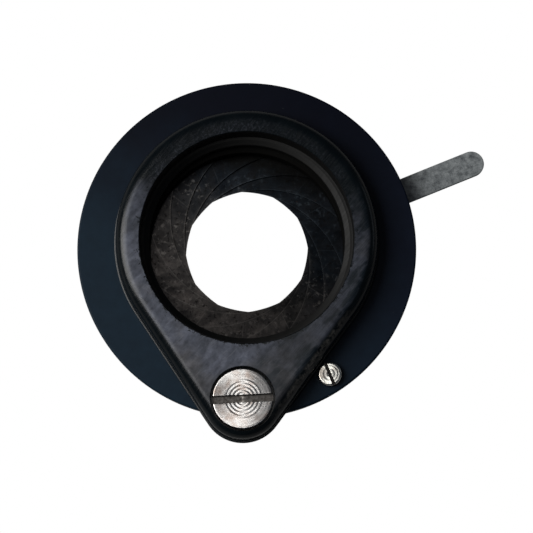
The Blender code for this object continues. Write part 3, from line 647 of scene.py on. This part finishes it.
def lever_zinc():
    """Dull zinc-plated sheet with a mottled bloom and dark pores, darker towards its root as painted shade.
    """
    look = Finish("mottled_zinc", 0.6, 0.5, 0.5)
    bloom = look.noise(1.0 * MM, 7.0, 0.76)
    tint = look.mix(look.spread(bloom, 0.36, 0.66), (0.09, 0.10, 0.108), (0.40, 0.425, 0.43))
    pores = look.spread(look.noise(0.28 * MM, 4.0, 0.75), 0.56, 0.68)
    tint = look.mix(look.maths("MULTIPLY", pores, 0.65), tint, (0.07, 0.072, 0.075))
    flecks = look.spread(look.noise(0.36 * MM, 4.0, 0.75), 0.62, 0.72)
    tint = look.mix(look.maths("MULTIPLY", flecks, 0.6), tint, (0.62, 0.63, 0.64))
    # painted shade: darker towards the root, under the disc's edge
    root_shade = look.spread(look.radius(), 30.5 * MM, 25.5 * MM)
    root_shade = look.maths("MULTIPLY", root_shade, look.spread(bloom, 0.3, 0.6, 0.68, 0.98))
    look.colour(look.mix(root_shade, tint, (0.055, 0.055, 0.060)))
    look.rough(look.spread(bloom, 0.3, 0.7, 0.58, 0.40))
    look.bump(look.maths("ADD", bloom, look.noise(0.2 * MM, 3.0)), 0.014 * MM, 0.6)
    return look.material


def screw_nickel(name, tint, slot_share, ring_size, head, top, slot, slot_deg):
    """Turned nickel with a warm tarnish, painted highlights on the groove crests and a dull slot, darkened by
    painted shade along its walls.

    The tangent runs round the head. slot_share is how bright the slot is.
    """
    look = Finish(name, 1.0, 0.25, 0.5)
    look.shader.inputs["Anisotropic"].default_value = 0.8
    turned = look.node("ShaderNodeTangent", direction_type="RADIAL", axis="Z")
    look.join(turned.outputs[0], look.shader.inputs["Tangent"])
    tarnish = look.noise(1.9 * MM, 5.0, 0.6)
    warm = tuple(c * f for c, f in zip(tint, (0.62, 0.52, 0.47)))
    base = look.mix(look.spread(tarnish, 0.45, 0.68), tint, warm)
    # painted highlight: lighter rings on the groove crests in the head's middle
    wave = look.maths("SINE", look.maths("MULTIPLY", look.radius(), 2 * math.pi / GROOVE_PITCH))
    inside = look.spread(look.radius(), 0.62 * head, 0.58 * head)
    crest_highlight = look.maths("MULTIPLY", look.spread(wave, 0.55, 0.95), inside)
    base = look.mix(look.maths("MULTIPLY", crest_highlight, 0.5), base, (0.93, 0.92, 0.90))
    specks = look.spread(look.noise(0.22 * MM, 4.0, 0.7), 0.66, 0.74)
    base = look.mix(look.maths("MULTIPLY", specks, 0.5), base, (0.12, 0.11, 0.10))
    width = slot[0]
    off = look.maths("ABSOLUTE", look.along(slot_deg + 90.0))
    in_slot = look.spread(off, width / 2 + 0.03 * MM, width / 2 + 0.01 * MM)
    sunk = look.spread(look.part("Z"), top - 0.06 * MM, top - 0.10 * MM)
    in_slot = look.maths("MULTIPLY", in_slot, sunk)
    # the slot's own darker tone
    dark_tone = look.mix(
        look.spread(look.noise(0.5 * MM, 5.0, 0.7), 0.35, 0.65),
        tuple(c * slot_share for c in (0.11, 0.095, 0.085)),
        tuple(c * slot_share for c in (0.34, 0.32, 0.30)),
    )
    # painted shade: the slot goes near black towards its walls
    corner = look.spread(off, width / 2 - 0.20 * MM, width / 2 - 0.04 * MM)
    dark_tone = look.mix(look.maths("MULTIPLY", corner, 0.85), dark_tone, (0.02, 0.018, 0.016))
    look.colour(look.mix(in_slot, base, dark_tone))
    rings = look.node("ShaderNodeTexNoise", noise_dimensions="1D")
    look.join(look.radius(), rings.inputs["W"])
    rings.inputs["Scale"].default_value = 1.0 / ring_size
    rings.inputs["Detail"].default_value = 3.0
    rough = look.spread(look.noise(0.8 * MM, 3.0), 0.3, 0.7, 0.24, 0.34)
    look.rough(look.maths("ADD", rough, look.maths("MULTIPLY", in_slot, 0.25)))
    look.bump(rings.outputs["Fac"], 0.010 * MM, 0.7)
    return look.material


def plain_metal(name, tint, roughness, size, metallic=1.0):
    """Machined metal whose shade and roughness drift a little."""
    look = Finish(name, metallic, roughness, 0.5)
    drift = look.noise(size, 5.0)
    darker = tuple(c * 0.72 for c in tint)
    look.colour(look.mix(look.spread(drift, 0.3, 0.7), darker, tint))
    look.rough(look.spread(look.noise(size / 3, 4.0), 0.3, 0.7, roughness - 0.06, roughness + 0.08))
    look.bump(look.noise(size / 12, 3.0), 0.005 * MM, 0.5)
    return look.material


# ---------------------------------------------------------------- pieces


def iris_plate(material):
    edge = 0.12 * MM
    profile = rounded(
        [
            (LIGHT_BORE_RADIUS, DISC_FRONT_Z),
            (DISC_RADIUS, DISC_FRONT_Z),
            (DISC_RADIUS, CUP_FLOOR_Z),
            (CUP_RADIUS, CUP_FLOOR_Z),
            (CUP_RADIUS, CUP_RIM_Z),
            (CUP_BORE_RADIUS, CUP_RIM_Z),
            (CUP_BORE_RADIUS, CUP_FLOOR_Z),
            (LIGHT_BORE_RADIUS, CUP_FLOOR_Z),
        ],
        [edge, 0.3 * MM, edge, edge, 0.2 * MM, edge, 0.0, edge],
    )
    plate = lathe("iris_plate", profile, 216, IRIS)
    tools = []
    past = 0.5 * MM
    for node in ("cover_grub_screw_1", "cover_grub_screw_2", "cover_grub_screw_3"):
        grub = middle(node)
        outward = Vector((grub.x - IRIS.x, grub.y - IRIS.y, 0.0)).normalized()
        shape = bmesh.new()
        bmesh.ops.create_cone(
            shape, cap_ends=True, segments=32, radius1=GRUB_HOLE_RADIUS, radius2=GRUB_HOLE_RADIUS,
            depth=DRILL_LENGTH, matrix=outward.to_track_quat("Z", "Y").to_matrix().to_4x4(),
        )
        hole = new_piece(node + "_hole", shape, Vector((IRIS.x, IRIS.y, grub.z)) + outward * CUP_RADIUS)
        tools.append(hole)
    low, high = JOINTS["iris_lever_turn"]["range_deg"]
    margin = math.radians(13.0)
    start = LEVER_AZIMUTH + math.radians(low) - margin
    end = LEVER_AZIMUTH + math.radians(high) + margin
    outline = arc((0.0, 0.0), CUP_RADIUS + past, start, end, 60)
    outline += arc((0.0, 0.0), CUP_BORE_RADIUS - past, end, start, 60)
    lever_low, lever_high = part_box("iris_lever")
    gap = 0.15 * MM
    tools.append(prism("lever_window", outline, lever_low.z - gap, lever_high.z + gap, IRIS))
    carve(plate, tools)
    shade(plate)
    return place(plate, "housing", "disc_black", material, "iris_housing")


def rear_cover(material):
    low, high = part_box("rear_cover")
    flange_top = 4.8 * MM
    groove_z, groove = 1.5 * MM, 0.5 * MM
    bore, spigot, collar, flange = 15.5 * MM, 18.5 * MM, 18.0 * MM, 23.0 * MM
    fine = 0.08 * MM
    profile = rounded(
        [
            (bore, high.z),
            (collar, high.z),
            (collar, flange_top),
            (flange, flange_top),
            (flange, CUP_RIM_Z),
            (spigot, CUP_RIM_Z),
            (spigot, groove_z + groove),
            (spigot - groove, groove_z),
            (spigot, groove_z - groove),
            (spigot, low.z),
            (bore, low.z),
        ],
        [fine, fine, fine, fine, fine, fine, fine, fine, fine, 0.25 * MM, 0.12 * MM],
    )
    cover = lathe("rear_cover_shell", profile, 180, IRIS)
    shade(cover)
    return place(cover, "housing", "cover_black", material, "rear_cover")


def leaf_height(angle):
    """The CAD's warp: a leaf falls from its pivot to its drive end, steepest in the middle."""
    along = min(max(angle / LEAF_SPAN, 0.0), 1.0)
    eased = along * along * (3.0 - 2.0 * along)
    return LEAF_TOP_Z - LEAF_DROP * ((1.0 - LEAF_MIDDLE_SHARE) * along + LEAF_MIDDLE_SHARE * eased)


def leaf_mesh():
    """One crescent leaf measured from its pivot pin, with round ends, thickness and an edge mask."""
    half_width = (LEAF_OUTER_RADIUS - LEAF_INNER_RADIUS) / 2
    centre = Vector((-LEAF_PIVOT_CIRCLE, 0.0))
    across = (-1.0, -0.985, -0.95, -0.8, -0.4, 0.0, 0.4, 0.8, 0.95, 0.985, 1.0)
    worn = (1.0, 0.85, 0.15, 0.0, 0.0, 0.0, 0.0, 0.0, 0.1, 0.5, 0.8)
    tip_steps, arc_steps = 10, 84
    rows = []
    for i in range(tip_steps):
        lean = math.radians(4.0 + 86.0 * i / tip_steps)
        rows.append((0.0, -half_width * math.cos(lean), half_width * math.sin(lean)))
    for i in range(arc_steps + 1):
        rows.append((LEAF_SPAN * i / arc_steps, 0.0, half_width))
    for i in range(1, tip_steps + 1):
        lean = math.radians(86.0 * i / tip_steps)
        rows.append((LEAF_SPAN, half_width * math.sin(lean), half_width * math.cos(lean)))
    shape = bmesh.new()
    mask = shape.verts.layers.float.new("edge")
    sides = []
    for lift in (LEAF_THICKNESS / 2, -LEAF_THICKNESS / 2):
        grid = []
        for angle, past, half in rows:
            out, along = polar(1.0, angle), polar(1.0, angle + math.pi / 2)
            base = centre + out * LEAF_PIVOT_CIRCLE + along * past
            line = []
            for share, wear in zip(across, worn):
                vert = shape.verts.new((*(base + out * (half * share)), leaf_height(angle) + lift))
                vert[mask] = wear
                line.append(vert)
            grid.append(line)
        sides.append(grid)
        for near, far in zip(grid, grid[1:]):
            for i in range(len(across) - 1):
                shape.faces.new((near[i], near[i + 1], far[i + 1], far[i]))
    rims = []
    for grid in sides:
        rims.append(
            [line[0] for line in grid] + grid[-1][1:] + [line[-1] for line in reversed(grid[:-1])]
            + list(reversed(grid[0][1:-1]))
        )
    for i in range(len(rims[0])):
        k = (i + 1) % len(rims[0])
        shape.faces.new((rims[0][i], rims[0][k], rims[1][k], rims[1][i]))
    for low, high, middle_point in (
        (LEAF_TOP_Z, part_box("iris_leaf_01")[1].z, Vector((0.0, 0.0))),
        (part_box("iris_leaf_01")[0].z, leaf_height(LEAF_SPAN), centre + polar(LEAF_PIVOT_CIRCLE, LEAF_SPAN)),
    ):
        rise = Matrix.Translation((*middle_point, (low + high) / 2))
        bmesh.ops.create_cone(
            shape, cap_ends=True, segments=24, radius1=LEAF_PIN_RADIUS, radius2=LEAF_PIN_RADIUS,
            depth=high - low, matrix=rise,
        )
    bmesh.ops.recalc_face_normals(shape, faces=shape.faces)
    mesh = bpy.data.meshes.new("leaf")
    shape.to_mesh(mesh)
    shape.free()
    mesh.shade_smooth()
    mesh.set_sharp_from_angle(angle=math.radians(30.0))
    return mesh


def iris_leaves():
    mesh = leaf_mesh()
    for index in range(LEAF_COUNT):
        number = f"{index + 1:02d}"
        pivot = JOINTS[f"leaf_{number}_pivot"]["pos_m"]
        leaf = bpy.data.objects.new(f"leaf_blade_{number}", mesh.copy())
        bpy.context.scene.collection.objects.link(leaf)
        leaf.location = (pivot[0], pivot[1], 0.0)
        turn = LEAF_PHASE + 2 * math.pi / LEAF_COUNT * index + LEAF_REST
        leaf.rotation_euler.z = turn
        steel = leaf_steel(index + 1, pivot, turn)
        place(leaf, f"leaf_{number}", "leaf_blued", steel, f"iris_leaf_{number}")


def teardrop(inset, arc_steps=150, tail_steps=48):
    """The holder's outline about the recess's centre."""
    lean = math.asin((HOLDER_RING_RADIUS - HOLDER_TAIL_RADIUS) / HOLDER_REACH)
    ring = arc((0.0, 0.0), HOLDER_RING_RADIUS - inset, -lean, math.pi + lean, arc_steps)
    tail_centre = (0.0, -HOLDER_REACH)
    tail = arc(tail_centre, HOLDER_TAIL_RADIUS - inset, math.pi + lean, 2 * math.pi - lean, tail_steps)
    flank_steps = 24
    left = [ring[-1].lerp(tail[0], i / flank_steps) for i in range(1, flank_steps)]
    right = [tail[-1].lerp(ring[0], i / flank_steps) for i in range(1, flank_steps)]
    return ring + left + tail + right


def holder_section():
    """How far in from the outline, and how high, the holder's outside runs from its foot to its top."""
    foot = HOLDER_BOTTOM_Z + HOLDER_FOOT_HEIGHT
    fine = 0.10 * MM
    points = [(fine, HOLDER_BOTTOM_Z), (0.0, HOLDER_BOTTOM_Z + fine)]
    points += [(0.0, foot - fine), (0.3 * fine, foot - 0.3 * fine), (fine, foot)]
    points += [(HOLDER_FOOT_STEP - fine, foot), (HOLDER_FOOT_STEP, foot + fine)]
    shoulder_z = HOLDER_TOP_Z - HOLDER_SHOULDER
    steps = 14
    for i in range(steps + 1):
        turn = math.pi / 2 * i / steps
        inset = HOLDER_FOOT_STEP + HOLDER_SHOULDER * (1.0 - math.cos(turn))
        points.append((inset, shoulder_z + HOLDER_SHOULDER * math.sin(turn)))
    points.append((HOLDER_FOOT_STEP + HOLDER_SHOULDER + 0.25 * MM, HOLDER_TOP_Z))
    return points


def filter_holder(material):
    centre = PIVOT + Vector((0.0, HOLDER_REACH, 0.0))
    shape = bmesh.new()
    rings = [
        [shape.verts.new((*point, height)) for point in teardrop(inset)]
        for inset, height in holder_section()
    ]
    count = len(rings[0])
    for lower, upper in zip(rings, rings[1:]):
        for i in range(count):
            k = (i + 1) % count
            shape.faces.new((lower[i], lower[k], upper[k], upper[i]))
    shape.faces.new(list(reversed(rings[0])))
    shape.faces.new(rings[-1])
    holder = new_piece("filter_holder_shell", shape, (centre.x, centre.y, 0.0))
    past = 0.5 * MM
    seat = HOLDER_TOP_Z - RECESS_DEPTH
    lip = 0.14 * MM
    recess = rounded(
        [
            (RECESS_RADIUS + past + lip, HOLDER_TOP_Z + past),
            (RECESS_RADIUS + lip, HOLDER_TOP_Z),
            (RECESS_RADIUS, HOLDER_TOP_Z - lip),
            (RECESS_RADIUS, seat),
            (SEAT_INNER_RADIUS, seat),
            (HOLDER_BORE_RADIUS, seat - SEAT_CHAMFER),
            (HOLDER_BORE_RADIUS, HOLDER_BOTTOM_Z - past),
        ],
        [0.0, 0.12 * MM, 0.12 * MM, 0.06 * MM, 0.05 * MM, 0.12 * MM, 0.0],
        closed=False,
    )
    recess = [(0.0, HOLDER_TOP_Z + past), *recess, (0.0, HOLDER_BOTTOM_Z - past)]
    floor_z = HOLDER_BOTTOM_Z + HEAD_RECESS_FLOOR
    head = rounded(
        [
            (HEAD_RECESS_RADIUS + past + lip, HOLDER_TOP_Z + past),
            (HEAD_RECESS_RADIUS + lip / 2, HOLDER_TOP_Z),
            (HEAD_RECESS_RADIUS, HOLDER_TOP_Z - lip / 2),
            (HEAD_RECESS_RADIUS, floor_z),
            (PIVOT_SHOULDER_RADIUS + 0.08 * MM, floor_z),
            (PIVOT_SHOULDER_RADIUS + 0.08 * MM, HOLDER_BOTTOM_Z - past),
        ],
        [0.0, 0.06 * MM, 0.06 * MM, 0.0, 0.0, 0.0],
        closed=False,
    )
    head = [(0.0, HOLDER_TOP_Z + past), *head, (0.0, HOLDER_BOTTOM_Z - past)]
    tools = [
        lathe("recess_tool", recess, 216, centre, closed=False),
        lathe("head_tool", head, 96, PIVOT, closed=False),
    ]
    carve(holder, tools)
    shade(holder)
    return place(holder, "holder", "holder_black", material, "filter_holder")


def turned_head(radius, low, high, edge, groove_reach, groove_pitch, groove_depth):
    """The outside of a screw head, with fine turned grooves across its middle."""
    profile = [(0.0, high)]
    samples_per_groove = 6
    steps = round(groove_reach / groove_pitch * samples_per_groove)
    for i in range(1, steps + 1):
        reach = groove_reach * i / steps
        wave = 0.5 - 0.5 * math.cos(2 * math.pi * reach / groove_pitch)
        fade = 1.0 - 0.35 * reach / groove_reach
        profile.append((reach, high - groove_depth * wave * fade))
    corners = rounded(
        [(groove_reach, high), (radius, high), (radius, low)], [0.0, edge, 0.0], steps=6, closed=False
    )
    return profile + [tuple(point) for point in corners[1:]]


def pivot_screw(material):
    low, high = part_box("pivot_screw")
    head_low = high.z - PIVOT_HEAD_HEIGHT
    profile = turned_head(
        PIVOT_HEAD_RADIUS, head_low, high.z, 0.22 * MM, 5.5 * GROOVE_PITCH, GROOVE_PITCH, 0.035 * MM
    )
    shoulder_low = DISC_FRONT_Z + 0.05 * MM
    thread = 1.5 * MM
    profile += [
        (PIVOT_SHOULDER_RADIUS, head_low),
        (PIVOT_SHOULDER_RADIUS, shoulder_low),
        (thread, shoulder_low),
        (thread, low.z),
        (0.0, low.z),
    ]
    screw = lathe("pivot_screw_head", profile, 160, PIVOT, closed=False)
    slot = block(
        "slot_tool", (4 * PIVOT_HEAD_RADIUS, PIVOT_SLOT[0], 2 * PIVOT_SLOT[1]), (PIVOT.x, PIVOT.y, high.z),
        math.radians(PIVOT_SLOT_DEG),
    )
    carve(screw, [slot])
    soften(screw, 0.05 * MM, 50.0)
    shade(screw, 40.0)
    return place(screw, "housing", "screw_nickel", material, "pivot_screw")


def stop_screw(material):
    low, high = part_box("stop_screw")
    head_low = DISC_FRONT_Z + 0.05 * MM
    profile = turned_head(
        STOP_HEAD_RADIUS, head_low, high.z, 0.30 * MM, 2.5 * GROOVE_PITCH, GROOVE_PITCH, 0.015 * MM
    )
    shank = 0.8 * MM
    profile += [(shank, head_low), (shank, low.z), (0.0, low.z)]
    screw = lathe("stop_screw_head", profile, 96, STOP, closed=False)
    slot = block(
        "slot_tool", (4 * STOP_HEAD_RADIUS, STOP_SLOT[0], 2 * STOP_SLOT[1]), (STOP.x, STOP.y, high.z),
        math.radians(STOP_SLOT_DEG),
    )
    carve(screw, [slot])
    soften(screw, 0.03 * MM, 50.0)
    shade(screw, 40.0)
    return place(screw, "housing", "screw_nickel", material, "stop_screw")


def iris_lever(material):
    low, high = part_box("iris_lever")
    half, foot = LEVER_WIDTH / 2, 4.7 * MM
    flare_start, flare_end, foot_radius = 22.3 * MM, 27.4 * MM, 18.9 * MM
    tip = arc((LEVER_REACH, 0.0), half, -math.pi / 2, math.pi / 2, 40)
    flare_steps = 20
    upper = []
    for i in range(flare_steps + 1):
        share = i / flare_steps
        x = flare_end + (flare_start - flare_end) * share
        upper.append(Vector((x, half + (foot - half) * share**3)))
    upper.append(Vector((foot_radius, foot)))
    lower = [Vector((point.x, -point.y)) for point in reversed(upper)]
    lever = prism("lever_strip", tip + upper + lower, low.z, high.z, IRIS)
    swing = Matrix.Rotation(LEVER_AZIMUTH, 4, "Z")
    lever.data.transform(swing)
    tools = []
    for side in (-1, 1):
        shape = bmesh.new()
        bmesh.ops.create_cone(
            shape, cap_ends=True, segments=24, radius1=LEVER_HOLE_RADIUS, radius2=LEVER_HOLE_RADIUS,
            depth=DRILL_LENGTH,
            matrix=Matrix.Translation((LEVER_HOLE_PLACE[0], side * LEVER_HOLE_PLACE[1], low.z)),
        )
        hole = new_piece("lever_hole_tool", shape, (IRIS.x, IRIS.y, 0.0))
        hole.data.transform(swing)
        tools.append(hole)
    carve(lever, tools)
    soften(lever, 0.10 * MM, 35.0, 3)
    shade(lever)
    return place(lever, "cam", "lever_zinc", material, "iris_lever")


make_camera()
make_floor()
make_light()

iris_plate(disc_black())
rear_cover(plain_metal("matt_black_cover", (0.013, 0.013, 0.015), 0.5, 4 * MM, 0.0))
iris_leaves()
filter_holder(holder_black())
pivot_screw(
    screw_nickel(
        "nickel_pivot_screw", (0.62, 0.60, 0.58), 1.0, 0.30 * MM,
        PIVOT_HEAD_RADIUS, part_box("pivot_screw")[1].z, PIVOT_SLOT, PIVOT_SLOT_DEG,
    )
)
stop_screw(
    screw_nickel(
        "nickel_stop_screw", (0.93, 0.91, 0.83), 0.22, 0.25 * MM,
        STOP_HEAD_RADIUS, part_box("stop_screw")[1].z, STOP_SLOT, STOP_SLOT_DEG,
    )
)
iris_lever(lever_zinc())

brass = plain_metal("turned_brass", (0.50, 0.38, 0.17), 0.35, 3 * MM)
steel = plain_metal("plain_steel", (0.42, 0.42, 0.43), 0.32, 2 * MM)
for name, node in frame["nodes"].items():
    if not node.hide_render:
        node.data.materials.clear()
        node.data.materials.append(brass if name == "cam_ring" else steel)
